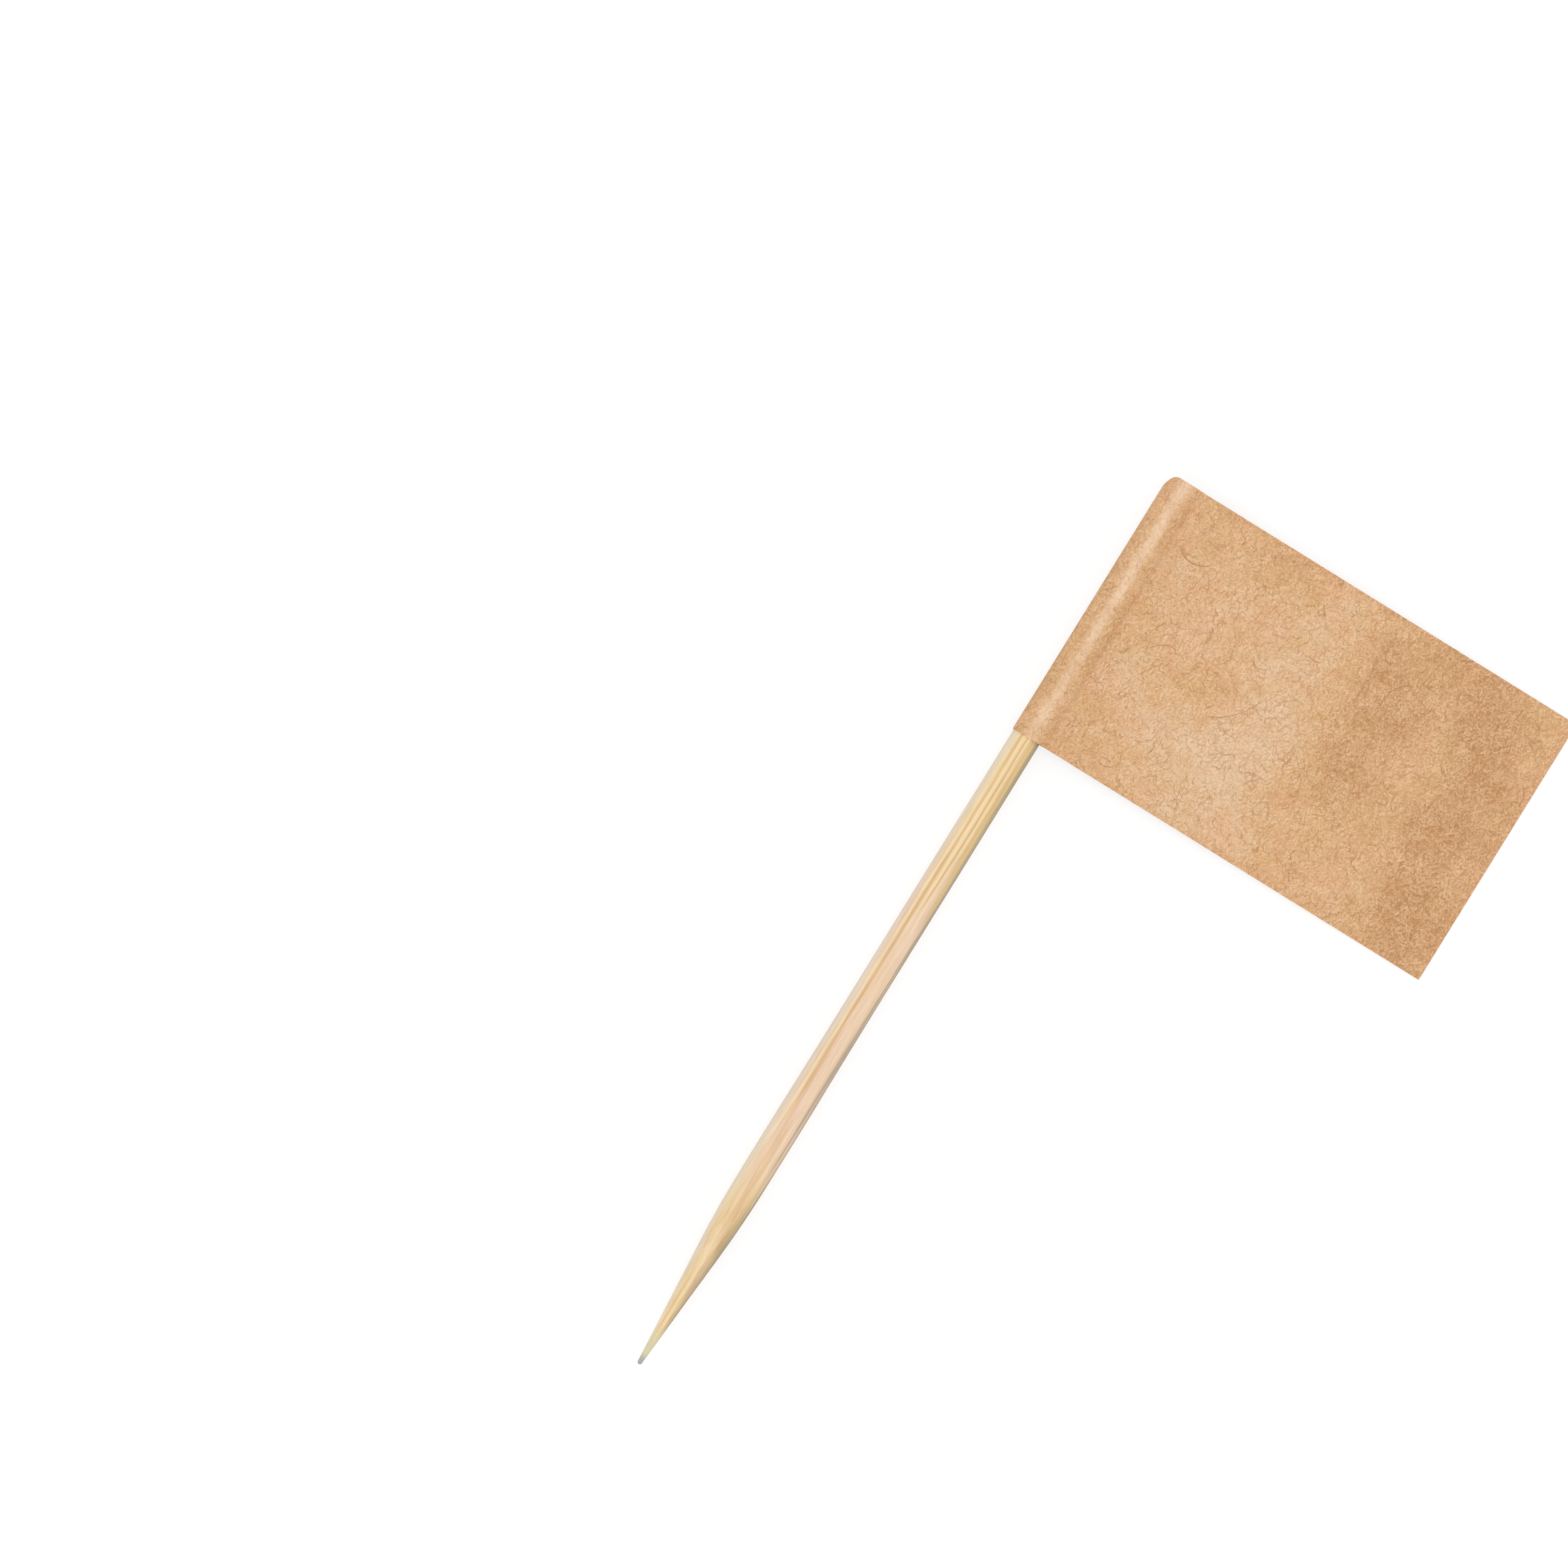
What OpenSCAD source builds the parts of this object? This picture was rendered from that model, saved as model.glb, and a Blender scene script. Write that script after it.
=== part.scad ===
// Flag toothpick: a round wooden pick with a kraft paper flag folded round its
// blunt end and glued to itself, lying on its side on a table.
// Millimetres. The stick runs along +Y from its point to the flag, the flag
// reaches out along +X, and +Z is up. The origin is on the table, under the
// middle of the box that holds the whole pick.

/* [Stick] */
// Length of the stick, from its point to its blunt end
stick_length = 65; // [50:0.5:90]
// Diameter of the straight shank
stick_d = 1.9; // [1.5:0.05:2.6]
// Distance from the tip to where the line of the taper would meet the shank
taper_length = 10.8; // [8:0.1:14]
// Reach of the rounded shoulder, to each side of that meeting place
shoulder_length = 2.4; // [1:0.1:5]
// Diameter of the blunted tip
tip_d = 0.3; // [0.1:0.05:0.6]
// Radius of the soft corner round the blunt end
end_r = 0.4; // [0.1:0.05:0.6]

/* [Flag] */
// Width of the flag, from its folded edge to its free edge
flag_width = 30.1; // [15:0.1:45]
// Height of the flag, measured along the stick
flag_height = 18.9; // [10:0.1:30]
// How far the flag's top edge stands past the blunt end of the stick
top_overhang = 0.25; // [0.05:0.05:2]
// Thickness of the kraft paper
paper_t = 0.07; // [0.05:0.01:0.2]

/* [Fold] */
// Radius of the bend by which each leaf comes off the stick
bend_r = 0.75; // [0.3:0.05:1.5]
// Thickness of the glue between the stick and the paper
glue_t = 0.015; // [0.01:0.005:0.05]
// Height of the nip behind the stick where the glue has closed it
nip_h = 0.03; // [0.01:0.005:0.05]

/* [Hidden] */
wood_colour = "#ECCBA3";
paper_colour = "#D9AF85";
$fn = 96;
// Degrees of turn between two points of an arc
arc_step = 5;

// The point: a cone that is tangent to the round tip, and a shoulder arc that
// is tangent to the cone and to the shank
stick_r = stick_d / 2;
tip_r = tip_d / 2;
corner_rise = taper_length - tip_r;
corner_dist = norm([stick_r, corner_rise]);
taper_angle = atan2(stick_r, corner_rise) - asin(tip_r / corner_dist);
shoulder_r = shoulder_length / tan(taper_angle / 2);
shank_start = taper_length + shoulder_length;

// The fold: the sheet wraps the stick, and its two leaves meet behind it
bore_r = stick_r + glue_t;
loop_r = bore_r + paper_t;
bend_up = bend_r + paper_t;
bend_out = sqrt(pow(loop_r + bend_r, 2) - pow(bend_up, 2));
bend_angle = atan2(bend_up, bend_out);
nip_angle = acos((bend_up - nip_h / 2) / bend_up);
leaf_reach = flag_width - loop_r;

// Along the stick
flag_top = stick_length + top_overhang;
flag_bottom = flag_top - flag_height;

// Lying down: the fold and the free edge both touch the table
lean = asin(loop_r / norm([leaf_reach, paper_t])) - atan2(paper_t, leaf_reach);
far_side = leaf_reach * cos(lean) + paper_t * sin(lean);
middle_x = (far_side - loop_r) / 2;
middle_y = flag_top / 2;

// Points of an arc about a centre, from one angle to another
function arc(centre, r, from, to, step = arc_step) =
    let (count = max(1, ceil(abs(to - from) / step)))
    [for (i = [0 : count])
        let (a = from + (to - from) * i / count)
        centre + r * [cos(a), sin(a)]];

// The same points with the order and the side turned over
function mirrored(points) =
    [for (i = [len(points) - 1 : -1 : 0]) [points[i].x, -points[i].y]];

// One side of the sheet as it bends off a leaf, goes round the stick and bends
// back on to the other leaf. Both sides of the sheet share the same centres.
// The bends hold the two places where they join the loop.
function wrap(round_r, off_r, start) =
    let (bend = arc([bend_out, bend_up], off_r, start, 180 + bend_angle),
        loop_start = bend_angle + arc_step,
        loop = arc([0, 0], round_r, loop_start, 360 - loop_start))
    concat(bend, loop, mirrored(bend));

// Half of the stick's outline, as radius and distance from the point
function stick_outline() = concat(
    arc([0, tip_r], tip_r, -90, -taper_angle, 15),
    arc([stick_r - shoulder_r, shank_start], shoulder_r, -taper_angle, 0, taper_angle / 8),
    arc([stick_r - end_r, stick_length - end_r], end_r, 0, 90, 15),
    [[0, stick_length]]
);

// The sheet seen from the end of the stick: a loop and two leaves face to face
module fold_section() {
    difference() {
        polygon(concat(
            [[leaf_reach, paper_t]],
            wrap(loop_r, bend_r, 270),
            [[leaf_reach, -paper_t]]
        ));
        polygon(wrap(bore_r, bend_up, 270 - nip_angle));
    }
}

// Lays the pick down, from the stick's own axes to the table's
module laid_down() {
    translate([-middle_x, -middle_y, loop_r])
        rotate([0, lean, 0])
            rotate([-90, 0, 0])
                children();
}

module toothpick() {
    color(wood_colour)
        laid_down()
            rotate_extrude()
                polygon(stick_outline());
}

module paper_flag() {
    color(paper_colour)
        laid_down()
            translate([0, 0, flag_bottom])
                linear_extrude(flag_height)
                    fold_section();
}

toothpick();
paper_flag();
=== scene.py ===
import math

import bpy
import numpy as np
from bpy.props import FloatProperty, FloatVectorProperty, PointerProperty
from bpy.types import Operator, Panel, PropertyGroup
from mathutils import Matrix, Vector, noise


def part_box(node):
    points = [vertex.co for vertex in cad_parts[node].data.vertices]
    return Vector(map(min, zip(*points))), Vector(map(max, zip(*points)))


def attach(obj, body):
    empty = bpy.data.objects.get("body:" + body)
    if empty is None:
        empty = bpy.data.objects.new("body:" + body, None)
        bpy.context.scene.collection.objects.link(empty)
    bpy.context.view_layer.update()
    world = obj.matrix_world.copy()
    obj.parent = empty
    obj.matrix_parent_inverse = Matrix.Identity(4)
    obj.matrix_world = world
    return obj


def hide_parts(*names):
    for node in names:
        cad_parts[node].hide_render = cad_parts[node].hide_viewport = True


bl_info = {
    "name": "Flag Toothpick",
    "version": (1, 0, 0),
    "blender": (4, 5, 0),
    "location": "View3D > Sidebar > Flag Pick",
    "description": "Builds a wooden pick with a folded kraft paper flag, and a plain studio round it",
    "category": "Add Mesh",
}

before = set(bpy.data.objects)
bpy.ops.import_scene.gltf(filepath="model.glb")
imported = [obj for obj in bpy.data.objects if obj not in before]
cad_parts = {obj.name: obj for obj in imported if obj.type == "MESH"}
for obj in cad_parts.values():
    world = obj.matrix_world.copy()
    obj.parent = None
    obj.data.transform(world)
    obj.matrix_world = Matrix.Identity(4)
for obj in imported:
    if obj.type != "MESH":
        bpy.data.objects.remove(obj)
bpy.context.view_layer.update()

MM = 0.001
STICK_LOW, STICK_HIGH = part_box("toothpick")
FLAG_LOW, FLAG_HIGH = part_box("paper_flag")

# The stick's axis runs along +Y at this place, and its tip is at TIP_Y.
AXIS_X = (STICK_LOW.x + STICK_HIGH.x) / 2
AXIS_Z = (STICK_LOW.z + STICK_HIGH.z) / 2
TIP_Y = STICK_LOW.y
STICK_R = (STICK_HIGH.x - STICK_LOW.x) / 2
STICK_LENGTH = STICK_HIGH.y - STICK_LOW.y
LOOP_R = AXIS_X - FLAG_LOW.x
FLAG_START = FLAG_LOW.y - TIP_Y
FLAG_END = FLAG_HIGH.y - TIP_Y

# The sheet's own millimetres: from the fold to a free edge, along the stick, and from the fold to the
# ridge's crest
SHEET_REACH = 31.0
SHEET_HEIGHT = (FLAG_END - FLAG_START) / MM
CREST_AT = 1.7

# The colour sockets of a Mix node, and the settings of a soft ramp and of noise that lies flat on the sheet
MIX_A, MIX_B, MIX_COLOUR = 6, 7, 2
SOFT = {"interpolation_type": "SMOOTHSTEP"}
FLAT = {"noise_dimensions": "2D"}


def srgb(code):
    """The linear colour of an sRGB hex value."""
    parts = [int(code[i:i + 2], 16) / 255 for i in (1, 3, 5)]
    return tuple(p / 12.92 if p <= 0.04045 else ((p + 0.055) / 1.055) ** 2.4 for p in parts)


def add_node(tree, kind, inputs=(), out=0, **settings):
    """Adds a node with its settings, fills its inputs, in order or by name, and gives one of its outputs."""
    made = tree.nodes.new("ShaderNode" + kind)
    made.location = (len(tree.nodes) % 12 * 190, -(len(tree.nodes) // 12) * 260)
    for name, value in settings.items():
        setattr(made, name, value)
    for name, value in inputs.items() if isinstance(inputs, dict) else enumerate(inputs):
        if isinstance(value, bpy.types.NodeSocket):
            tree.links.new(value, made.inputs[name])
        else:
            made.inputs[name].default_value = value
    return made.outputs[out] if made.outputs else made


def tinted(tree, colour, coats):
    """Lays coats over a colour, one after another: how much of each shows, and its tint."""
    for shown, tint in coats:
        coat = {0: shown, MIX_A: colour, MIX_B: (*tint, 1)}
        colour = add_node(tree, "Mix", coat, MIX_COLOUR, data_type="RGBA")
    return colour


def new_material(name):
    """An empty node material and its tree."""
    material = bpy.data.materials.new(name)
    material.use_nodes = True
    material.node_tree.nodes.clear()
    return material, material.node_tree


def smooth_step(low, high, value):
    """0 below low, 1 above high and a soft ramp between, for numbers and arrays."""
    t = np.clip((value - low) / (high - low), 0, 1)
    return t * t * (3 - 2 * t)


class ToothpickSettings(PropertyGroup):
    taper_length: FloatProperty(
        name="Taper length", description="From the tip to where the taper's line would meet the shank",
        default=10.8 * MM, min=5 * MM, max=20 * MM, unit="LENGTH", precision=5)
    shoulder_length: FloatProperty(
        name="Shoulder", description="Reach of the rounded shoulder to each side of that place",
        default=2.4 * MM, min=1 * MM, max=5 * MM, unit="LENGTH", precision=5)
    tip_diameter: FloatProperty(
        name="Tip diameter", description="Width of the blunted tip",
        default=0.3 * MM, min=0.1 * MM, max=0.6 * MM, unit="LENGTH", precision=6)
    end_radius: FloatProperty(
        name="End radius", description="Rounding of the blunt end inside the flag",
        default=0.75 * MM, min=0.1 * MM, max=0.9 * MM, unit="LENGTH", precision=6)
    swelling: FloatProperty(
        name="Swelling", description="How much thicker the stick is behind its shoulder, as turned wood is",
        default=0.045 * MM, min=0, max=0.1 * MM, unit="LENGTH", precision=6)
    flute_depth: FloatProperty(
        name="Flute depth", description="Depth of the grooves that the wood's fibres leave along the stick",
        default=0.012 * MM, min=0, max=0.05 * MM, unit="LENGTH", precision=6)
    straw: FloatVectorProperty(
        name="Straw wood", description="Yellow wood near the flag and near the point",
        default=srgb("#EDD0A0"), subtype="COLOR", min=0, max=1)
    blush: FloatVectorProperty(
        name="Blush wood", description="Pinkish wood half way along the stick",
        default=srgb("#EDCEB6"), subtype="COLOR", min=0, max=1)
    bundle: FloatVectorProperty(
        name="Fibre bundles", description="Darker strands that run along the stick",
        default=srgb("#DBB078"), subtype="COLOR", min=0, max=1)
    pith: FloatVectorProperty(
        name="Pith", description="Pale soft wood between the bundles",
        default=srgb("#F8DEAE"), subtype="COLOR", min=0, max=1)
    # Painted shade along one side of the stick's taper; the same colour also draws the dots in the blunt end
    skin: FloatVectorProperty(
        name="Shaded side and end dots", description="Painted shade along one side of the stick, also the dots in its blunt end",
        default=srgb("#A58B66"), subtype="COLOR", min=0, max=1)
    # Painted greyer shade along the shaded side of the shank
    grey_shade_edge: FloatVectorProperty(
        name="Grey shade edge", description="Painted greyer shade at the outermost edge of the shaded side",
        default=srgb("#A4967B"), subtype="COLOR", min=0, max=1)
    # Painted light along the stick's other side
    painted_lit_side: FloatVectorProperty(
        name="Lit side", description="Painted greyish light along the other side",
        default=srgb("#EBDFCB"), subtype="COLOR", min=0, max=1)
    olive: FloatVectorProperty(
        name="Olive band", description="Yellow green wood beside the shaded side",
        default=srgb("#E2C486"), subtype="COLOR", min=0, max=1)
    sapwood: FloatVectorProperty(
        name="Sapwood", description="Greyish green wood of the point's last millimetres",
        default=srgb("#D9D7B2"), subtype="COLOR", min=0, max=1)
    tip: FloatVectorProperty(
        name="Cut tip", description="Grey end grain of the tip",
        default=srgb("#ADADA8"), subtype="COLOR", min=0, max=1)


class PaperFlagSettings(PropertyGroup):
    leaf_height: FloatProperty(
        name="Leaf height", description="From the flag's middle plane to its outer face",
        default=0.07 * MM, min=0.03 * MM, max=0.2 * MM, unit="LENGTH", precision=6)
    glue_line: FloatProperty(
        name="Glue line", description="Thickness of the glue between the two leaves",
        default=0.01 * MM, min=0, max=0.05 * MM, unit="LENGTH", precision=6)
    bend_radius: FloatProperty(
        name="Bend radius", description="Bend by which each leaf comes off the stick",
        default=0.75 * MM, min=0.3 * MM, max=1.5 * MM, unit="LENGTH", precision=5)
    crest_run: FloatProperty(
        name="Loose fold", description="Flat run over the stick's crest, because the fold isn't pulled tight",
        default=0.25 * MM, min=0, max=0.6 * MM, unit="LENGTH", precision=6)
    wave_height: FloatProperty(
        name="Wave height", description="Height of the slow waves in the glued leaves",
        default=0.12 * MM, min=0, max=0.5 * MM, unit="LENGTH", precision=5)
    kraft: FloatVectorProperty(
        name="Kraft", description="The paper's middle tone",
        default=srgb("#DDB07B"), subtype="COLOR", min=0, max=1)
    warm_kraft: FloatVectorProperty(
        name="Warm kraft", description="Pinker patches of the middle tone",
        default=srgb("#E3B082"), subtype="COLOR", min=0, max=1)
    # Also paints light beside the ridge, against the ridge's shade
    thin_pulp: FloatVectorProperty(
        name="Thin pulp", description="Light greyish clouds where the pulp lies thin",
        default=srgb("#EACAA6"), subtype="COLOR", min=0, max=1)
    thick_pulp: FloatVectorProperty(
        name="Thick pulp", description="Dark clouds where the pulp lies thick",
        default=srgb("#C48F5E"), subtype="COLOR", min=0, max=1)
    pale_fibre: FloatVectorProperty(
        name="Pale fibres", description="Light fibres at the paper's face",
        default=srgb("#F6CFA8"), subtype="COLOR", min=0, max=1)
    # Also paints the shadow of the pale fibres
    dark_fibre_and_shadow: FloatVectorProperty(
        name="Dark fibres and fibre shadow", description="Bark specks, dark fibres and the pale fibres' painted shadow at the paper's face",
        default=srgb("#AF7C4C"), subtype="COLOR", min=0, max=1)
    # Painted highlight along the crest over the stick
    ridge_highlight: FloatVectorProperty(
        name="Painted ridge highlight", description="Highlight painted along the crest over the stick",
        default=srgb("#F4D2B1"), subtype="COLOR", min=0, max=1)
    cut_edge: FloatVectorProperty(
        name="Cut edge", description="Warmer tone beside the cut edges",
        default=srgb("#D08F5C"), subtype="COLOR", min=0, max=1)


class StudioSettings(PropertyGroup):
    lens: FloatProperty(
        name="Lens", description="Focal length of the camera, in millimetres",
        default=200, min=20, max=300)
    turn: FloatProperty(
        name="Turn", description="Angle by which the picture is turned against the stick",
        default=math.radians(31.75), subtype="ANGLE")
    key_power: FloatProperty(
        name="Key light", description="Power of the large soft light over the pick, in watts",
        default=0.56, min=0, unit="POWER")
    fill_level: FloatProperty(
        name="Fill light", description="Brightness of the white room round the table",
        default=0.86, min=0, max=2)


class FlagPickSettings(PropertyGroup):
    toothpick: PointerProperty(type=ToothpickSettings)
    paper_flag: PointerProperty(type=PaperFlagSettings)
    studio: PointerProperty(type=StudioSettings)


# The stick

def stick_radii(s, settings):
    """The turned stick's radius at each distance s from the tip: tip, cone, shoulder, shank and blunt end."""
    swell_at, swell_run = 16.5 * MM, 6.2 * MM
    tip_r = settings.tip_diameter / 2
    rise = settings.taper_length - tip_r
    slope = math.atan2(STICK_R, rise) - math.asin(tip_r / math.hypot(STICK_R, rise))
    shoulder_r = settings.shoulder_length / math.tan(slope / 2)
    shank_start = settings.taper_length + settings.shoulder_length
    ball_end = tip_r * (1 - math.sin(slope))
    ball = np.sqrt(np.maximum(tip_r**2 - (tip_r - s)**2, 0))
    cone = tip_r * math.cos(slope) + (s - ball_end) * math.tan(slope)
    left = np.clip(shank_start - s, 0, shoulder_r * math.sin(slope))
    shoulder = STICK_R - shoulder_r + np.sqrt(shoulder_r**2 - left**2)
    past = np.clip(s - (STICK_LENGTH - settings.end_radius), 0, settings.end_radius)
    blunt = settings.end_radius - np.sqrt(settings.end_radius**2 - past**2)
    body = np.where(s < shank_start - shoulder_r * math.sin(slope), cone, shoulder)
    swelling = settings.swelling * np.exp(-((s - swell_at) / swell_run)**2)
    return np.where(s < ball_end, ball, body + swelling) - blunt


def stick_stations(settings):
    """Distances from the tip at which the stick gets a ring of points, closest where it curves most."""
    tip_r = settings.tip_diameter / 2
    tip = tip_r * (1 - np.cos(np.linspace(0.2, 1.5, 8)))
    taper = np.linspace(tip_r, 15 * MM, 60)
    shank = np.linspace(15.3 * MM, STICK_LENGTH - settings.end_radius, 100)
    end = STICK_LENGTH - settings.end_radius * (1 - np.sin(np.linspace(0.15, 1.55, 9)))
    return np.concatenate([tip, taper, shank, end])


def build_stick(settings):
    """The stick's mesh: rings of points that follow the turned outline and the grooves between the fibres."""
    round_points = 144
    flute_pitch = 0.34 * MM
    flute_run = 14 * MM
    s = stick_stations(settings)
    radii = stick_radii(s, settings)
    angles = np.linspace(0, math.tau, round_points, endpoint=False)
    points = [(AXIS_X, TIP_Y, AXIS_Z)]
    for at, r in zip(s, radii):
        depth = settings.flute_depth * min(1, r / STICK_R)
        for angle in angles:
            across, up = math.cos(angle), math.sin(angle)
            groove = noise.noise((across * r / flute_pitch, up * r / flute_pitch, at / flute_run))
            out = r + depth * groove
            points.append((AXIS_X + across * out, TIP_Y + at, AXIS_Z + up * out))
    points.append((AXIS_X, TIP_Y + STICK_LENGTH, AXIS_Z))
    last = len(points) - 1
    faces = []
    for j in range(round_points):
        k = (j + 1) % round_points
        faces.append((0, 1 + j, 1 + k))
        for ring in range(len(s) - 1):
            near, far = 1 + ring * round_points, 1 + (ring + 1) * round_points
            faces.append((near + j, far + j, far + k, near + k))
        faces.append((last - round_points + j, last, last - round_points + k))
    mesh = bpy.data.meshes.new("turned_stick")
    mesh.from_pydata(points, [], faces)
    return mesh


def strand(tree, axes, across, width, start, end, strength):
    """How much of one fibre bundle shows on the stick's upper half.

    Its place across, half width, start and end are in millimetres.
    """
    fade = 1.5
    off = add_node(tree, "Math", (axes["X"], across), operation="SUBTRACT")
    off = add_node(tree, "Math", (off,), operation="ABSOLUTE")
    shown = add_node(tree, "MapRange", (off, 0.15 * width, width, strength, 0), **SOFT)
    for value, nothing, all_of_it in (
            (axes["Y"], start - fade, start + fade),
            (axes["Y"], end + fade, end - fade),
            (axes["Z"], 0, 0.15)):
        kept = add_node(tree, "MapRange", (value, nothing, all_of_it), **SOFT)
        shown = add_node(tree, "Math", (shown, kept), operation="MULTIPLY")
    return shown


def strands(tree, place, runs):
    """The most that any of several fibre bundles shows, each a little crooked."""
    sway = add_node(tree, "VectorMath", (place, (0.8, 0.14, 0.8)), operation="MULTIPLY")
    sway = add_node(tree, "TexNoise", {"Vector": sway, "Scale": 1, "Detail": 2}, "Color")
    sway = add_node(tree, "VectorMath", (sway, (0.5, 0.5, 0.5)), operation="SUBTRACT")
    sway = add_node(tree, "VectorMath", (sway, (0.22, 0, 0), place), operation="MULTIPLY_ADD")
    axes = add_node(tree, "SeparateXYZ", (sway,)).node.outputs
    shown = 0.0
    for run in runs:
        shown = add_node(tree, "Math", (shown, strand(tree, axes, *run)), operation="MAXIMUM")
    return shown


def turned_bamboo(settings):
    """Bamboo split, turned round and left bare: long pale strands, darker bundles and a dry low gloss, with
    shade painted along one side and light along the other.
    """
    material, tree = new_material("turned_bamboo")
    # Millimetres from the stick's axis and from its tip
    place = add_node(tree, "TexCoord", out="Object")
    place = add_node(tree, "VectorMath", (place, (AXIS_X, TIP_Y, AXIS_Z)), operation="SUBTRACT")
    place = add_node(tree, "VectorMath", {0: place, 3: 1 / MM}, operation="SCALE")
    along = add_node(tree, "SeparateXYZ", (place,), "Y")

    # The wood turns from straw at the flag to a blush half way, and back to straw at the point
    share = add_node(tree, "Math", (along, STICK_LENGTH / MM), operation="DIVIDE")
    blush = add_node(tree, "FloatCurve", {"Value": share})
    curve = blush.node.mapping.curves[0]
    curve.points[0].location = (0, 0)
    curve.points[1].location = (1, 0)
    for at, level in ((0.16, 0.1), (0.3, 0.8), (0.48, 0.95), (0.58, 0.35), (0.7, 0)):
        curve.points.new(at, level)
    blush.node.mapping.update()
    drift = add_node(tree, "VectorMath", (place, (0.9, 0.09, 0.9)), operation="MULTIPLY")
    drift = add_node(tree, "TexNoise", {"Vector": drift, "Scale": 1, "Detail": 1})
    drift = add_node(tree, "MapRange", (drift, 0.3, 0.7, -0.35, 0.25), **SOFT)
    blush = add_node(tree, "Math", (blush, drift), operation="ADD")

    # Strands are about 0.28 mm across and 17 mm long, and fine fibres 0.09 mm across and 2 mm long. The
    # wood's own fibres, 0.015 mm across, are too fine to show, so they are drawn this coarse.
    plain = add_node(tree, "VectorMath", (place, (3.6, 0.06, 3.6)), operation="MULTIPLY")
    plain = add_node(tree, "TexNoise", {"Vector": plain, "Scale": 1, "Detail": 2, "Roughness": 0.5})
    fine = add_node(tree, "VectorMath", (place, (11, 0.5, 11)), operation="MULTIPLY")
    fine = add_node(tree, "TexNoise", {"Vector": fine, "Scale": 1, "Detail": 2})
    dark_strand = add_node(tree, "MapRange", (plain, 0.5, 0.75, 0, 0.55), **SOFT)
    pale_strand = add_node(tree, "MapRange", (plain, 0.5, 0.28, 0, 0.55), **SOFT)

    # Each bundle: place across, half width, start, end, and strength
    dark = strands(tree, place, (
        (-0.3, 0.16, 19, 38, 0.8), (-0.3, 0.11, 36, 50, 0.75), (0.1, 0.09, 34, 50, 0.85),
        (0.12, 0.2, 10, 18, 0.45), (0.5, 0.12, 37, 50, 0.65), (0.42, 0.3, 8, 13, 0.4),
        (-0.45, 0.15, 6, 10, 0.35), (-0.12, 0.12, 2, 7, 0.5), (0.3, 0.1, 5, 10, 0.3)))
    light = strands(tree, place, (
        (-0.52, 0.13, 16, 50, 0.85), (-0.12, 0.08, 34, 50, 0.6), (0.27, 0.12, 32, 50, 0.5),
        (-0.1, 0.14, 6, 12, 0.4), (0.06, 0.08, 3, 9, 0.6)))
    # An olive band beside the painted shade side, up by the flag
    olive = strands(tree, place, ((0.7, 0.26, 33, 60, 0.75), (0.62, 0.2, 8, 13, 0.5)))

    # Painted shade lies along one side of the stick and painted light along the other: strips with uneven
    # borders, which fade to a fifth on the stick's lower half. The taper gets a softer painted shade on the
    # same side.
    flat = add_node(tree, "VectorMath", (place, (1, 0, 1)), operation="MULTIPLY")
    side = add_node(tree, "SeparateXYZ", (add_node(tree, "VectorMath", (flat,), operation="NORMALIZE"),), "X")
    streaks = add_node(tree, "VectorMath", (place, (5, 0.1, 5)), operation="MULTIPLY")
    streaks = add_node(tree, "TexNoise", {"Vector": streaks, "Scale": 1, "Detail": 2})
    uneven = add_node(tree, "MapRange", (streaks, 0.3, 0.7, -0.16, 0.16))
    high = add_node(tree, "SeparateXYZ", (place,), "Z")
    high = add_node(tree, "MapRange", (high, -0.6, 0.15, 0.2, 1), **SOFT)
    side = add_node(tree, "Math", (side, uneven), operation="ADD")
    skin = add_node(tree, "MapRange", (side, 0.62, 1, 0, 0.85), **SOFT)
    taper_painted_shade = add_node(tree, "MapRange", (side, 0.15, 0.6, 0, 0.46), **SOFT)
    for nothing, all_of_it in ((1.5, 3.5), (13.5, 9)):
        kept = add_node(tree, "MapRange", (along, nothing, all_of_it), **SOFT)
        taper_painted_shade = add_node(tree, "Math", (taper_painted_shade, kept), operation="MULTIPLY")
    painted_lit_side = add_node(tree, "MapRange", (side, -0.5, -0.92, 0, 0.7), **SOFT)
    skin, painted_lit_side = (add_node(tree, "Math", (strip, high), operation="MULTIPLY") for strip in (skin, painted_lit_side))

    # The point's last millimetres are greyish green, and its very tip is grey end grain
    sap = add_node(tree, "MapRange", (along, 0.8, 3.3, 0.85, 0), **SOFT)
    tip = add_node(tree, "MapRange", (along, 0.25, 0.9, 0.9, 0), **SOFT)

    # The blunt end shows the cut ends of the bundles: dark dots 0.15 mm apart
    cut = add_node(tree, "MapRange", (along, STICK_LENGTH / MM - 0.3, STICK_LENGTH / MM - 0.12), **SOFT)
    dots = add_node(tree, "TexVoronoi", {"Vector": flat, "Scale": 1 / 0.15}, "Distance")
    dots = add_node(tree, "MapRange", (dots, 0.2, 0.5, 0.8, 0), **SOFT)
    dots = add_node(tree, "Math", (dots, cut), operation="MULTIPLY")

    # The skin coats are painted shade and the lit-side coat is painted light
    colour = tinted(tree, (*settings.straw, 1), (
        (blush, settings.blush), (dark_strand, settings.bundle), (pale_strand, settings.pith),
        (dark, settings.bundle), (light, settings.pith), (olive, settings.olive),
        (taper_painted_shade, settings.skin), (skin, settings.grey_shade_edge), (painted_lit_side, settings.painted_lit_side),
        (sap, settings.sapwood), (tip, settings.tip), (cut, settings.straw), (dots, settings.skin)))
    shade = add_node(tree, "MapRange", (fine, 0.25, 0.75, 0.93, 1.06), **SOFT)
    colour = add_node(tree, "HueSaturation", {"Value": shade, "Color": colour})

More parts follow.
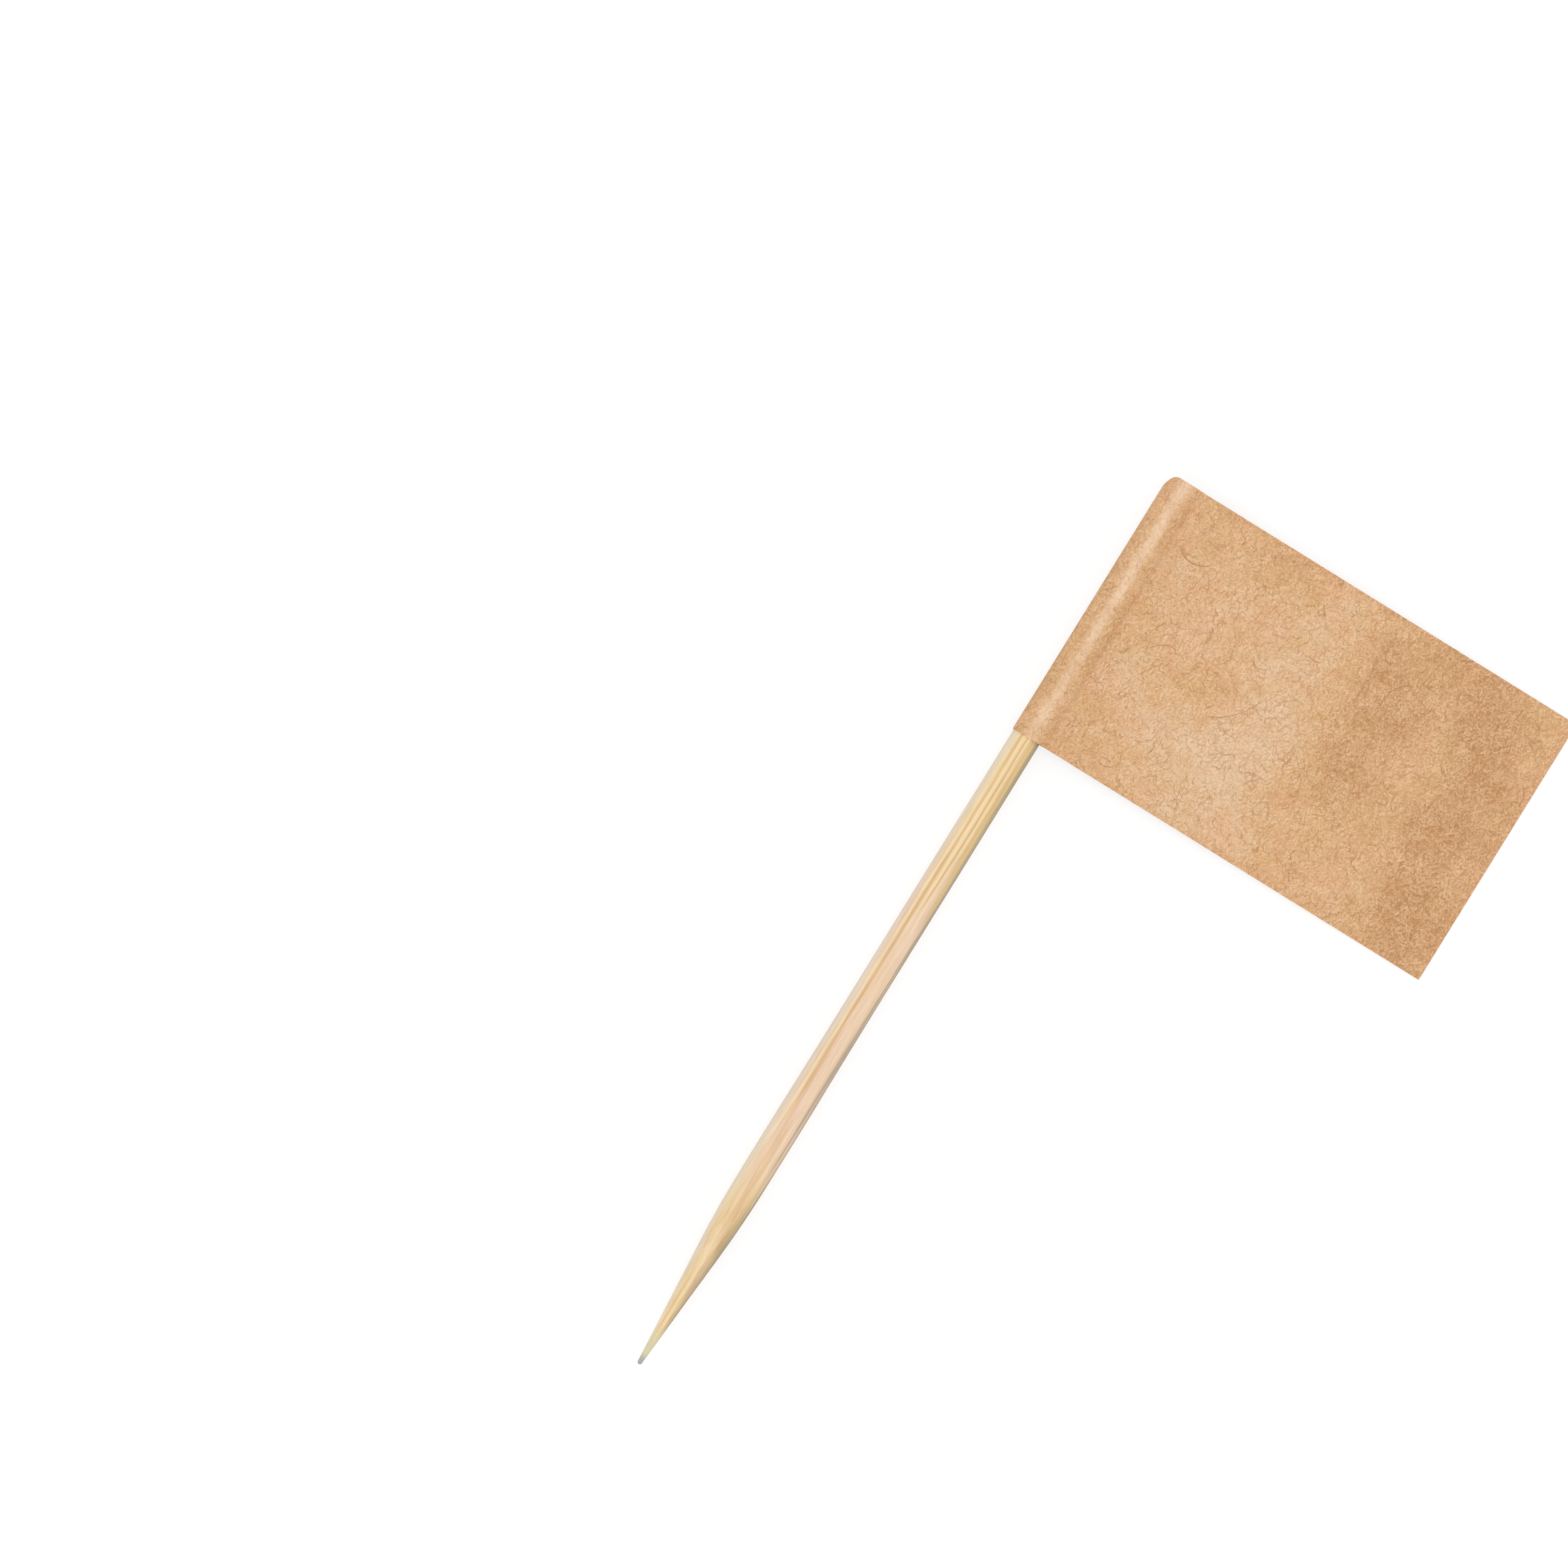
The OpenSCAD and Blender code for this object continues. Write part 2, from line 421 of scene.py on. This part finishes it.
    height = add_node(tree, "Math", (fine, plain), operation="ADD")
    bump = add_node(tree, "Bump", {"Height": height, "Strength": 0.35, "Distance": 0.02 * MM})
    shader = add_node(tree, "BsdfPrincipled", {
        "Base Color": colour, "Roughness": 0.58, "IOR": 1.45, "Specular IOR Level": 0.35, "Normal": bump})
    add_node(tree, "OutputMaterial", {"Surface": shader})
    return material


# The flag

def sheet_line(settings):
    """The folded sheet's middle line, seen from the stick's end: from the fold to the upper leaf's free edge.

    Gives the distance along the sheet, and the distances across and up from the stick's axis.
    """
    paper = settings.leaf_height - settings.glue_line / 2
    middle = settings.leaf_height - paper / 2
    round_r = LOOP_R - paper / 2
    bend_r = settings.bend_radius + paper / 2
    bend_up = middle + bend_r
    bend_out = math.sqrt((round_r + bend_r)**2 - bend_up**2)
    meet = math.atan2(bend_up, bend_out)
    loose = settings.crest_run
    round_off = np.linspace(math.pi, math.pi / 2, 26)
    crest = np.linspace(0, loose, 5)[1:-1]
    slope = np.linspace(math.pi / 2, meet, 20)
    bend = np.linspace(math.pi + meet, 1.5 * math.pi, 14)[1:]
    reach = flag_reach(settings)[0]
    leaf = np.linspace(loose + bend_out, reach - 0.3 * MM, 72)[1:]
    leaf = np.concatenate([leaf, [reach - 0.1 * MM, reach]])
    across = np.concatenate([
        round_r * np.cos(round_off), crest, loose + round_r * np.cos(slope),
        loose + bend_out + bend_r * np.cos(bend), leaf])
    up = np.concatenate([
        round_r * np.sin(round_off), np.full(len(crest), round_r), round_r * np.sin(slope),
        bend_up + bend_r * np.sin(bend), np.full(len(leaf), middle)])
    along = np.concatenate([[0], np.cumsum(np.hypot(np.diff(across), np.diff(up)))])
    return along, across, up


def flag_reach(settings):
    """How far the leaves reach from the stick's axis, and how far they lean down to the table."""
    out = FLAG_HIGH.x - AXIS_X
    drop = AXIS_Z - settings.leaf_height
    lean = math.atan2(drop, out - settings.leaf_height * AXIS_Z / out)
    return drop / math.sin(lean), lean


def flag_stations(end_radius):
    """Distances from the tip at which the flag gets a row of points, closest where it closes over the end."""
    close = STICK_LENGTH - end_radius
    top_rows = FLAG_END - np.array([0.12, 0.08, 0.05, 0.025, 0.01, 0]) * MM
    return np.concatenate([
        [FLAG_START, FLAG_START + 0.1 * MM], np.linspace(FLAG_START + 0.3 * MM, close - 0.2 * MM, 44),
        np.linspace(close, FLAG_END - 0.16 * MM, 14), top_rows])


def build_flag(settings, stick):
    """The flag's mesh: one sheet with its true thickness, folded round the stick and glued to itself."""
    pinch_at_edge = 0.45
    cap_run, cap_depth = 1.2 * MM, 0.6 * MM
    wave_starts, wave_is_full = 2.5 * MM, 12 * MM
    paper = settings.leaf_height - settings.glue_line / 2
    along, across, up = sheet_line(settings)
    lean = flag_reach(settings)[1]
    sheet_u = np.concatenate([-along[:0:-1], along])
    across = np.concatenate([across[:0:-1], across])
    up = np.concatenate([-up[:0:-1], up])
    rows = flag_stations(stick.end_radius)
    bore = LOOP_R - paper
    near = settings.leaf_height
    outer, inner, sheet = [], [], []
    for s in rows:
        # The paper closes over the stick's rounded end and is pinched at the flag's top edge
        stick_r = float(stick_radii(np.array([min(s, STICK_LENGTH - 0.02 * MM)]), stick)[0])
        over_end = s > STICK_LENGTH - stick.end_radius
        tight = max(stick_r + bore - STICK_R, pinch_at_edge * bore) if over_end else bore
        high = np.sign(up) * (near + (np.abs(up) - near) * np.where(np.abs(up) > near, tight / bore, 1))
        # Seen from above, the fold rounds in to the flag's top edge, as far as the stick lets it
        past = min(max(1 - (FLAG_END - s) / cap_run, 0), 1)
        left = bore - cap_depth * (1 - math.sqrt(1 - past**2))
        if s < STICK_LENGTH:
            left = max(left, min(bore, stick_r + 0.02 * MM))
        line = across * np.where(across < 0, (left + paper / 2) / (bore + paper / 2), 1)
        wave = [wave_at(a / MM, (s - FLAG_START) / MM) for a in across]
        high = high + settings.wave_height * np.array(wave) * smooth_step(wave_starts, wave_is_full, across)
        step_a, step_h = np.gradient(line), np.gradient(high)
        size = np.hypot(step_a, step_h)
        normal_a, normal_h = -step_h / size, step_a / size
        for skin, side in ((outer, 1), (inner, -1)):
            a = line + side * normal_a * paper / 2
            h = high + side * normal_h * paper / 2
            skin.append(np.stack([
                AXIS_X + a * math.cos(lean) + h * math.sin(lean),
                np.full(len(a), TIP_Y + s),
                np.maximum(AXIS_Z - a * math.sin(lean) + h * math.cos(lean), FLAG_LOW.z)], 1))
        sheet.append(np.stack([sheet_u / MM, np.full(len(a), (s - FLAG_START) / MM), np.zeros(len(a))], 1))
    count, wide = len(rows), len(sheet_u)
    points = np.concatenate([np.concatenate(outer), np.concatenate(inner)])
    marks = np.concatenate([np.concatenate(sheet)] * 2)
    back = count * wide
    faces = []
    for j in range(count - 1):
        for i in range(wide - 1):
            a, b, c, d = j * wide + i, j * wide + i + 1, (j + 1) * wide + i + 1, (j + 1) * wide + i
            faces.append((a, b, c, d))
            faces.append((back + d, back + c, back + b, back + a))
        for i, flip in ((0, False), (wide - 1, True)):
            edge = [j * wide + i, (j + 1) * wide + i, back + (j + 1) * wide + i, back + j * wide + i]
            faces.append(tuple(edge[::-1] if flip else edge))
    for i in range(wide - 1):
        for j, flip in ((0, True), (count - 1, False)):
            edge = [j * wide + i, j * wide + i + 1, back + j * wide + i + 1, back + j * wide + i]
            faces.append(tuple(edge[::-1] if flip else edge))
    mesh = bpy.data.meshes.new("folded_sheet")
    mesh.from_pydata(points.tolist(), [], faces)
    place = mesh.attributes.new("sheet_mm", "FLOAT_VECTOR", "POINT")
    place.data.foreach_set("vector", marks.astype(np.float32).ravel())
    return mesh


def wave_at(across, along):
    """Slow waves in the glued leaves, from 0 up to 1, at a place on the flag in millimetres."""
    swell = 0.5 + 0.5 * math.sin(across / 4.6 + 0.35 * math.sin(along / 4) - 0.9)
    return swell * (0.55 + 0.45 * noise.noise((across / 12, along / 9, 3.1)))


def arc_line(tree, local, radius, width):
    """A thin line along an arc of that radius round the origin of a place, in millimetres."""
    away = add_node(tree, "VectorMath", (local,), "Value", operation="LENGTH")
    off = add_node(tree, "Math", (away, radius), operation="SUBTRACT")
    off = add_node(tree, "Math", (off,), operation="ABSOLUTE")
    return add_node(tree, "MapRange", (off, 0.2 * width, width, 1, 0), **SOFT)


def stroke_layer(tree, place, gap, length, width, bend, seed):
    """Curved strokes strewn one to a cell, as fibres lie in felted pulp. Sizes are in millimetres.

    Gives how much of a stroke covers each place.
    """
    shifted = add_node(tree, "VectorMath", (place, (seed * 7.3, seed * 3.9, 0)), operation="ADD")
    cells = {"Vector": shifted, "Scale": 1 / gap}
    middle = add_node(tree, "TexVoronoi", cells, "Position", voronoi_dimensions="2D")
    chance = add_node(tree, "SeparateColor", (middle.node.outputs["Color"],)).node.outputs
    local = add_node(tree, "VectorMath", (shifted, middle), operation="SUBTRACT")
    angle = add_node(tree, "Math", (chance["Red"], math.tau), operation="MULTIPLY")
    turned = add_node(tree, "VectorRotate", {"Vector": local, "Angle": angle}, rotation_type="Z_AXIS")
    raised = add_node(tree, "VectorMath", (turned, (0, bend, 0)), operation="ADD")
    run = add_node(tree, "Math", (add_node(tree, "SeparateXYZ", (turned,), "X"),), operation="ABSOLUTE")
    kept = add_node(tree, "MapRange", (run, 0.3 * length, 0.5 * length, 1, 0), **SOFT)
    line = add_node(tree, "Math", (arc_line(tree, raised, bend, width), kept), operation="MULTIPLY")
    return add_node(tree, "Math", (line, chance["Green"]), operation="MULTIPLY")


def felt(tree, place, layers):
    """The most that any of several stroke layers covers each place."""
    cover = 0.0
    for layer in layers:
        cover = add_node(tree, "Math", (cover, stroke_layer(tree, place, *layer)), operation="MAXIMUM")
    return cover


def hair(tree, place, centre, radius, opens, spread, width):
    """One stray hair in the pulp: an arc that opens towards an angle in degrees. Sizes are in millimetres."""
    local = add_node(tree, "VectorMath", (place, (*centre, 0)), operation="SUBTRACT")
    turn = math.radians(opens)
    facing = (-math.cos(turn), -math.sin(turn), 0)
    side = add_node(tree, "VectorMath", (local, facing), "Value", operation="DOT_PRODUCT")
    ends, middle = (radius * math.cos(math.radians(part * spread)) for part in (1, 0.6))
    kept = add_node(tree, "MapRange", (side, ends, middle), **SOFT)
    return add_node(tree, "Math", (arc_line(tree, local, radius, width), kept), operation="MULTIPLY")


def cloud(tree, place, centre, reach, level):
    """A soft oval cloud in the pulp, at its full level in the middle and 0 past its reach, in millimetres."""
    local = add_node(tree, "VectorMath", (place, (*centre, 0)), operation="SUBTRACT")
    local = add_node(tree, "VectorMath", (local, (1 / reach[0], 1 / reach[1], 0)), operation="MULTIPLY")
    away = add_node(tree, "VectorMath", (local,), "Value", operation="LENGTH")
    return add_node(tree, "MapRange", (away, 0, 1, level, 0), **SOFT)


def bent(tree, place, scale, detail, reach):
    """A place shifted by soft noise, so that what is drawn on it bends, in millimetres."""
    shift = add_node(tree, "TexNoise", {"Vector": place, "Scale": scale, "Detail": detail}, "Color", **FLAT)
    shift = add_node(tree, "VectorMath", (shift, (0.5, 0.5, 0.5)), operation="SUBTRACT")
    return add_node(tree, "VectorMath", (shift, (reach, reach, 0), place), operation="MULTIPLY_ADD")


def mottle(tree, place, scale, detail, low, high, least, most):
    """Soft blotches, so many to the millimetre, whose noise from low to high gives least to most."""
    blotch = add_node(tree, "TexNoise", {"Vector": place, "Scale": scale, "Detail": detail}, **FLAT)
    return add_node(tree, "MapRange", (blotch, low, high, least, most), **SOFT)


def kraft_paper(settings):
    """Unbleached kraft paper, wet laid and dried: a felt of pale and dark fibres, soft clouds, no gloss, with
    painted shadows beside the pale fibres and a highlight painted along the ridge.
    """
    material, tree = new_material("kraft_paper")
    place = add_node(tree, "Attribute", out="Vector", attribute_name="sheet_mm")
    axes = add_node(tree, "SeparateXYZ", (place,)).node.outputs
    curled = bent(tree, place, 2.6, 1, 0.2)
    kinked = bent(tree, place, 1.3, 2, 0.7)
    # The place shifted a little, where the pale fibres' painted shadow is drawn
    shadow_place = add_node(tree, "VectorMath", (curled, (-0.085, 0.035, 0)), operation="ADD")

    # Each layer: gap between fibres, their length, width and bend, in millimetres, and a seed. Real pulp
    # fibres are 0.03 mm wide, too fine to show, so they are drawn as wide as the small tufts they lie in.
    fibres = (
        (0.19, 0.3, 0.085, 0.4, 1), (0.23, 0.36, 0.09, 0.3, 2), (0.31, 0.5, 0.09, 0.5, 3),
        (0.6, 0.9, 0.08, 0.8, 4))
    pale = felt(tree, curled, fibres)
    # The pale fibres drawn again on the shifted place, in the dark colour: their painted shadow
    fibre_shadow = felt(tree, shadow_place, fibres)
    dark = felt(tree, curled, (
        (0.25, 0.36, 0.085, 0.4, 5), (0.42, 0.65, 0.085, 0.5, 6), (0.9, 1.4, 0.08, 0.9, 7)))
    bark = felt(tree, kinked, (
        (0.8, 0.8, 0.07, 0.35, 8), (1.2, 1.1, 0.075, 0.5, 9), (1.8, 1.6, 0.075, 0.9, 10)))

    # Clouds of thin and thick pulp: slow ones 8 mm across, blotches of 3 mm and small ones of 1 mm
    tone = 0.0
    for blotches in ((0.13, 3, -0.12, 0.12), (0.3, 2, -0.18, 0.18), (0.9, 4, -0.25, 0.23)):
        scale, detail, least, most = blotches
        patch = mottle(tree, place, scale, detail, 0.3, 0.7, least, most)
        tone = add_node(tree, "Math", (tone, patch), operation="ADD")
    # Single clouds: each one's middle and reach in millimetres, and its level, above 0 for thin pulp. The
    # light one at (4.4, 13.5), beside the ridge, is painted light that lifts the ridge's shade there.
    for spot in (
            ((6, 9), (6, 13), 0.3), ((4.4, 13.5), (3, 5), 0.35), ((12.8, 3.5), (6.5, 7), 1.0),
            ((14.2, 10), (4.5, 8), 0.7), ((15, 17), (2.6, 4.5), 0.5), ((25.3, 17.5), (3.5, 5), -0.5),
            ((20.4, 13.5), (4.8, 9), -0.9), ((19.6, 8), (4, 4), -0.4), ((28.5, 1.5), (5, 6), -1.1),
            ((27.6, 9), (4.2, 9), -1.0), ((26.6, 15.5), (4.5, 6), -0.9), ((30.6, 12), (2.5, 8), -0.35),
            ((10.4, 18), (3.5, 3), -0.4)):
        tone = add_node(tree, "Math", (tone, cloud(tree, place, *spot)), operation="ADD")
    shade = add_node(tree, "Math", (tone, -1), operation="MULTIPLY")
    warm = mottle(tree, place, 0.33, 3, 0.35, 0.65, 0, 1)

    # The cut edges and the fold have taken a warmer tone, in blotches
    free = add_node(tree, "Math", (axes["X"],), operation="ABSOLUTE")
    rim = add_node(tree, "MapRange", (free, SHEET_REACH - 0.6, SHEET_REACH - 0.1), **SOFT)
    for nothing, all_of_it in ((0.5, 0.1), (SHEET_HEIGHT - 0.5, SHEET_HEIGHT - 0.1)):
        edge = add_node(tree, "MapRange", (axes["Y"], nothing, all_of_it), **SOFT)
        rim = add_node(tree, "Math", (rim, edge), operation="MAXIMUM")
    blotch = mottle(tree, place, 0.9, 2, 0.4, 0.65, 0.05, 0.45)
    rim = add_node(tree, "Math", (rim, blotch), operation="MULTIPLY")

    # A highlight is painted along the crest over the stick, in patches, and wider and fuller over the stick's
    # end
    off = add_node(tree, "Math", (free, CREST_AT), operation="SUBTRACT")
    off = add_node(tree, "Math", (off,), operation="ABSOLUTE")
    cap = add_node(tree, "MapRange", (axes["Y"], SHEET_HEIGHT - 1.2, SHEET_HEIGHT - 0.4), **SOFT)
    crest_width = add_node(tree, "Math", (cap, 0.2, 0.64), operation="MULTIPLY_ADD")
    crest = add_node(tree, "MapRange", (off, 0.06, crest_width, 1, 0), **SOFT)
    patch = mottle(tree, place, 0.5, 2, 0.3, 0.65, 0.62, 1)
    patch = add_node(tree, "Math", (patch, cap), operation="MAXIMUM")
    crest = add_node(tree, "Math", (crest, patch), operation="MULTIPLY")

    # The felt shows more in some places than in others, 1.5 mm across, and least under the painted ridge
    # highlight
    plain = mottle(tree, place, 0.6, 2, 0.35, 0.65, 0.75, 1)
    below_highlight = add_node(tree, "MapRange", (crest, 0, 1, 1, 0.55), **SOFT)
    plain = add_node(tree, "Math", (plain, below_highlight), operation="MULTIPLY")
    shown = []
    for fibre, strength in ((fibre_shadow, 0.32), (pale, 0.68), (dark, 0.42), (bark, 0.6)):
        fibre = add_node(tree, "Math", (fibre, plain), operation="MULTIPLY")
        shown.append(add_node(tree, "Math", (fibre, strength), operation="MULTIPLY"))

    # Each stray hair: its arc's centre on the sheet, radius, the way it opens, half its spread, and its width
    hairs = 0.0
    for one in (
            ((4.98, 16.25), 1.49, 90, 62, 0.08), ((9.2, 11.06), 4.34, 138, 30, 0.05),
            ((21.69, 13.77), 1.88, -23, 44, 0.065), ((6.9, 1.9), 0.9, 100, 45, 0.06),
            ((8.6, 3.5), 0.5, 190, 60, 0.06), ((14.7, 14.9), 1.3, 95, 25, 0.055),
            ((27.9, 5.2), 0.8, 120, 50, 0.07), ((29.4, 12.9), 1.2, 200, 40, 0.06),
            ((6.9, 8.1), 1.5, -60, 40, 0.055), ((19.0, 16.5), 0.6, 30, 70, 0.065),
            ((22.2, 14.8), 0.5, 140, 80, 0.06), ((24.3, 8.8), 0.7, 20, 60, 0.06)):
        hairs = add_node(tree, "Math", (hairs, hair(tree, place, *one)), operation="MAXIMUM")
    hairs = add_node(tree, "Math", (hairs, 0.65), operation="MULTIPLY")

    colour = tinted(tree, (*settings.kraft, 1), (
        (warm, settings.warm_kraft), (tone, settings.thin_pulp), (shade, settings.thick_pulp),
        (rim, settings.cut_edge), (crest, settings.ridge_highlight),
        (shown[0], settings.dark_fibre_and_shadow), (shown[1], settings.pale_fibre), (shown[2], settings.dark_fibre_and_shadow),
        (shown[3], settings.dark_fibre_and_shadow), (hairs, settings.dark_fibre_and_shadow)))
    # A fine grain, 0.17 mm across, makes the paper a little lighter and darker
    grain = mottle(tree, place, 6, 2, 0.3, 0.7, 0.955, 1.045)
    colour = add_node(tree, "HueSaturation", {"Value": grain, "Color": colour})

    height = add_node(tree, "Math", (pale, dark), operation="SUBTRACT")
    bump = add_node(tree, "Bump", {"Height": height, "Strength": 0.5, "Distance": 0.02 * MM})
    shader = add_node(tree, "BsdfPrincipled", {
        "Base Color": colour, "Roughness": 0.86, "IOR": 1.5, "Specular IOR Level": 0.25, "Normal": bump})
    add_node(tree, "OutputMaterial", {"Surface": shader})
    return material


# The studio

def white_where_seen(tree, shader, seen_shader):
    """Shows seen_shader to the camera and in mirrors and glass, and shader to everything else."""
    rays = add_node(tree, "LightPath").node.outputs
    seen = add_node(tree, "Math", (rays["Is Camera Ray"], rays["Is Glossy Ray"]), operation="MAXIMUM")
    seen = add_node(tree, "Math", (seen, rays["Is Transmission Ray"]), operation="MAXIMUM")
    return add_node(tree, "MixShader", (seen, shader, seen_shader))


def studio_floor():
    """Matt white card: it bounces light as card does, and shows white with only the pick's faint shadow."""
    material, tree = new_material("matt_white_card")
    card = add_node(tree, "BsdfDiffuse", {"Color": (0.8, 0.8, 0.8, 1)})
    shown = add_node(tree, "BsdfDiffuse", {"Color": (0.3, 0.3, 0.3, 1)})
    glow = add_node(tree, "Emission", {"Color": (1, 1, 1, 1), "Strength": 0.74})
    shown = add_node(tree, "AddShader", (shown, glow))
    add_node(tree, "OutputMaterial", {"Surface": white_where_seen(tree, card, shown)})
    mesh = bpy.data.meshes.new("floor_card")
    half, below = 0.8, -0.01 * MM
    mesh.from_pydata([(-half, -half, below), (half, -half, below), (half, half, below), (-half, half, below)],
                     [], [(0, 1, 2, 3)])
    mesh.materials.append(material)
    floor = bpy.data.objects.new("floor", mesh)
    bpy.context.scene.collection.objects.link(floor)


def studio_world(level):
    """An even white room, white to the camera."""
    world = bpy.data.worlds.new("white_room")
    world.use_nodes = True
    tree = world.node_tree
    tree.nodes.clear()
    room = add_node(tree, "Background", {"Color": (1, 1, 1, 1), "Strength": level})
    shown = add_node(tree, "Background", {"Color": (1, 1, 1, 1), "Strength": 1})
    add_node(tree, "OutputWorld", {"Surface": white_where_seen(tree, room, shown)})
    bpy.context.scene.world = world


def studio_key(power):
    """One large soft light overhead, a little to the fold's side, so that the ridge shows by soft shading."""
    away, off_plumb, size = 0.6, math.radians(4), 0.35
    data = bpy.data.lights.new("key", "AREA")
    data.shape, data.size, data.energy = "DISK", size, power
    lamp = bpy.data.objects.new("key", data)
    lamp.location = (-away * math.sin(off_plumb), 0.1, away * math.cos(off_plumb))
    lamp.rotation_euler = Vector(lamp.location).to_track_quat("Z", "Y").to_euler()
    bpy.context.scene.collection.objects.link(lamp)


def studio_camera(lens, turn):
    """A long lens straight above, framed so that the pick lies where it does in the picture."""
    picture_px = 1568
    px_per_mm = 15.91
    tip_px = (638.6, 1364.1)
    sensor = 36.0
    view = picture_px / px_per_mm * MM
    right = (picture_px / 2 - tip_px[0]) / px_per_mm * MM
    above = (tip_px[1] - picture_px / 2) / px_per_mm * MM
    data = bpy.data.cameras.new("camera")
    data.lens, data.sensor_width = lens, sensor
    data.clip_start, data.clip_end = 0.01, 5
    camera = bpy.data.objects.new("camera", data)
    camera.location = (
        AXIS_X + right * math.cos(turn) - above * math.sin(turn),
        TIP_Y + right * math.sin(turn) + above * math.cos(turn),
        AXIS_Z + view * lens / sensor)
    camera.rotation_euler = (0, 0, turn)
    bpy.context.scene.collection.objects.link(camera)
    bpy.context.scene.camera = camera


def place_piece(name, mesh, material, node, sharp):
    """Puts a finished mesh in the scene in place of its CAD node."""
    mesh.materials.append(material)
    mesh.validate()
    mesh.shade_smooth()
    mesh.set_sharp_from_angle(angle=math.radians(sharp))
    piece = bpy.data.objects.new(name, mesh)
    bpy.context.scene.collection.objects.link(piece)
    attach(piece, "root")
    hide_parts(node)


class FLAGPICK_OT_toothpick(Operator):
    """Add the turned wooden stick"""
    bl_idname = "flagpick.toothpick"
    bl_label = "Toothpick"

    def execute(self, context):
        settings = context.scene.flag_pick.toothpick
        mesh = build_stick(settings)
        place_piece("turned_toothpick", mesh, turned_bamboo(settings), "toothpick", 60)
        return {"FINISHED"}


class FLAGPICK_OT_paper_flag(Operator):
    """Add the kraft paper flag, folded round the stick"""
    bl_idname = "flagpick.paper_flag"
    bl_label = "Paper Flag"

    def execute(self, context):
        settings = context.scene.flag_pick
        mesh = build_flag(settings.paper_flag, settings.toothpick)
        place_piece("folded_flag", mesh, kraft_paper(settings.paper_flag), "paper_flag", 40)
        return {"FINISHED"}


class FLAGPICK_OT_studio(Operator):
    """Add the floor, the lights and the camera"""
    bl_idname = "flagpick.studio"
    bl_label = "Studio"

    def execute(self, context):
        settings = context.scene.flag_pick.studio
        studio_floor()
        studio_world(settings.fill_level)
        studio_key(settings.key_power)
        studio_camera(settings.lens, settings.turn)
        context.scene.view_settings.view_transform = "Standard"
        return {"FINISHED"}


class FLAGPICK_PT_panel(Panel):
    """The pick's pieces and their settings"""
    bl_label = "Flag Pick"
    bl_idname = "FLAGPICK_PT_panel"
    bl_space_type = "VIEW_3D"
    bl_region_type = "UI"
    bl_category = "Flag Pick"

    def draw(self, context):
        settings = context.scene.flag_pick
        for part, operator in (("studio", FLAGPICK_OT_studio), ("toothpick", FLAGPICK_OT_toothpick),
                               ("paper_flag", FLAGPICK_OT_paper_flag)):
            box = self.layout.box()
            group = getattr(settings, part)
            for name in group.__annotations__:
                box.prop(group, name)
            box.operator(operator.bl_idname)


CLASSES = (
    ToothpickSettings, PaperFlagSettings, StudioSettings, FlagPickSettings,
    FLAGPICK_OT_toothpick, FLAGPICK_OT_paper_flag, FLAGPICK_OT_studio, FLAGPICK_PT_panel,
)


def register():
    for cls in CLASSES:
        bpy.utils.register_class(cls)
    bpy.types.Scene.flag_pick = PointerProperty(type=FlagPickSettings)


def unregister():
    del bpy.types.Scene.flag_pick
    for cls in reversed(CLASSES):
        bpy.utils.unregister_class(cls)


def main():
    register()
    bpy.ops.flagpick.studio()
    bpy.ops.flagpick.toothpick()
    bpy.ops.flagpick.paper_flag()


if __name__ == "__main__":
    main()
